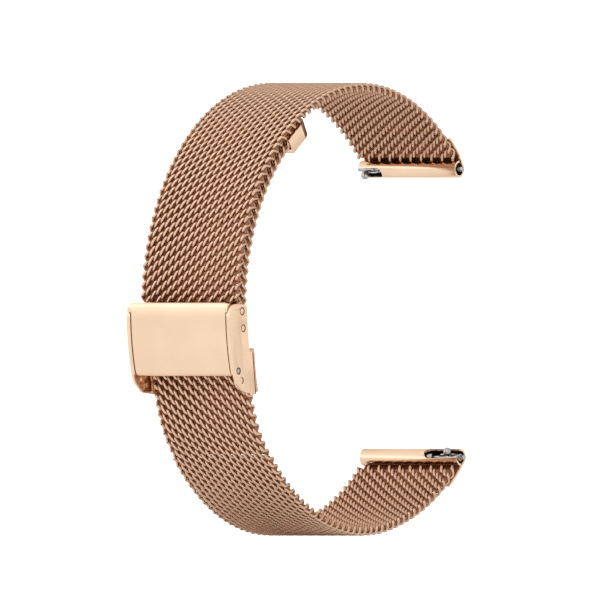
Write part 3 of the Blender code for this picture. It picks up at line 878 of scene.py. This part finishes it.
def make_tail_cap():
    wall = 0.2 * MM
    inner = INNER_LAYER_R - MESH_T - 0.9 * MM
    outer = INNER_LAYER_R + 0.25 * MM
    body = tongue(nose_stations(TAIL_NOSE, TAIL_OPENING, MESH_HW + 0.25 * MM, (3.4 * MM, 1.6 * MM)),
                  (inner, outer))
    hollow = tongue(nose_stations(TAIL_NOSE + 0.4, TAIL_OPENING + 2.0, MESH_HW + 0.05 * MM,
                                  (3.2 * MM, 1.5 * MM)),
                    (INNER_LAYER_R - MESH_T - 0.1 * MM, outer - wall))
    cap = carved("tail_cap_shell", body, [hollow], 0.05 * MM)
    # The sides where they bend in to the nose get a painted dark reflection.
    for polygon in cap.data.polygons:
        place = polygon.center - CENTRE
        along = math.degrees(math.atan2(place.z, place.y))
        if along < TAIL_NOSE + BEND_SPAN and abs(place.x) > MESH_HW - 1.5 * MM:
            polygon.material_index = 1
    settle(cap, "long_strap", ["tail_cap"], "rose_gold_steel", POLISHED, CAP_BEND_DARK_REFLECTION)


# ---------------------------------------------------------------- stage, light and camera

def make_floor():
    low = cad_box[0].z
    mesh = bpy.data.meshes.new("floor")
    corners = [(x * FLOOR_REACH, y * FLOOR_REACH, low - FLOOR_GAP)
               for x, y in ((-1, -1), (1, -1), (1, 1), (-1, 1))]
    mesh.from_pydata(corners, [], [(0, 1, 2, 3)])
    floor = bpy.data.objects.new("floor", mesh)
    bpy.context.scene.collection.objects.link(floor)
    material, nodes, links, shader = new_material("pale_floor")
    tone = noise_at(nodes, links, 6.0)
    links.new(ramp_from(nodes, links, tone.outputs["Fac"], (0.90, 0.90, 0.90, 1), (0.94, 0.94, 0.94, 1)),
              shader.inputs["Base Color"])
    shader.inputs["Roughness"].default_value = 0.8
    mesh.materials.append(material)


def make_world():
    """An even white studio, dimmer toward the floor, the ceiling and the far right."""
    world = bpy.data.worlds.new("studio")
    bpy.context.scene.world = world
    world.use_nodes = True
    nodes = world.node_tree.nodes
    links = world.node_tree.links
    place = nodes.new("ShaderNodeTexCoord")
    split = nodes.new("ShaderNodeSeparateXYZ")
    height = nodes.new("ShaderNodeMapRange")
    height.inputs["From Min"].default_value = -1.0
    ramp = nodes.new("ShaderNodeValToRGB")
    ramp.color_ramp.elements[0].color = (0.45, 0.45, 0.45, 1)
    ramp.color_ramp.elements[1].color = (0.6, 0.6, 0.6, 1)
    # Share of the light at heights from straight down (0) to straight up (1)
    for position, tone in ((0.40, 0.8), (0.49, 1.0), (0.60, 1.0), (0.78, 0.7)):
        stop = ramp.color_ramp.elements.new(position)
        stop.color = (tone, tone, tone, 1)
    links.new(place.outputs["Generated"], split.inputs["Vector"])
    links.new(split.outputs["Z"], height.inputs["Value"])
    links.new(height.outputs["Result"], ramp.inputs["Fac"])
    right = nodes.new("ShaderNodeMapRange")
    right.inputs["From Min"].default_value = -0.2
    right.inputs["From Max"].default_value = 0.5
    right.inputs["To Min"].default_value = 1.0
    right.inputs["To Max"].default_value = RIGHT_SHARE
    links.new(split.outputs["X"], right.inputs["Value"])
    light = multiplied(nodes, links, ramp.outputs["Color"], right.outputs["Result"])
    links.new(light, nodes["Background"].inputs["Color"])
    nodes["Background"].inputs["Strength"].default_value = STUDIO_STRENGTH


def soft_light(name, azimuth, elevation, distance, size, power):
    light = bpy.data.lights.new(name, 'AREA')
    light.size = size
    light.energy = power
    obj = bpy.data.objects.new(name, light)
    turn, lift = math.radians(azimuth), math.radians(elevation)
    back = Vector((math.sin(turn) * math.cos(lift), -math.cos(turn) * math.cos(lift), math.sin(lift)))
    obj.location = CENTRE + back * distance
    obj.rotation_mode = 'QUATERNION'
    obj.rotation_quaternion = (-back).to_track_quat('-Z', 'Y')
    bpy.context.scene.collection.objects.link(obj)


def make_camera():
    camera = bpy.data.cameras.new("camera")
    camera.type = 'ORTHO'
    camera.ortho_scale = VIEW_WIDTH
    camera.clip_start = 0.01
    camera.clip_end = 10.0
    obj = bpy.data.objects.new("camera", camera)
    turn = math.radians(VIEW_AZIMUTH)
    back = Vector((math.sin(turn), -math.cos(turn), 0.0))
    right = Vector((math.cos(turn), math.sin(turn), 0.0))
    up = Vector((0.0, 0.0, 1.0))
    obj.matrix_world = Matrix((right, up, back)).transposed().to_4x4()
    obj.location = CENTRE + right * FRAMING[0] + up * FRAMING[1] + back * 0.5
    bpy.context.scene.collection.objects.link(obj)
    bpy.context.scene.camera = obj


bpy.context.scene.view_settings.view_transform = 'Standard'
make_mesh()
upper_axis, upper_out = end_sheet("upper", UPPER_TUBE, -1, UPPER_SLOT)
spring_bar("upper", upper_axis, upper_out, -1, *UPPER_KNOB)
lower_axis, lower_out = end_sheet("lower", LOWER_TUBE, 1, LOWER_SLOT)
spring_bar("lower", lower_axis, lower_out, 1, *LOWER_KNOB)
make_cover()
make_latches()
make_slider()
make_tail_cap()
make_floor()
make_world()
soft_light("key", azimuth=10, elevation=55, distance=0.5, size=0.35, power=0.5)
make_camera()
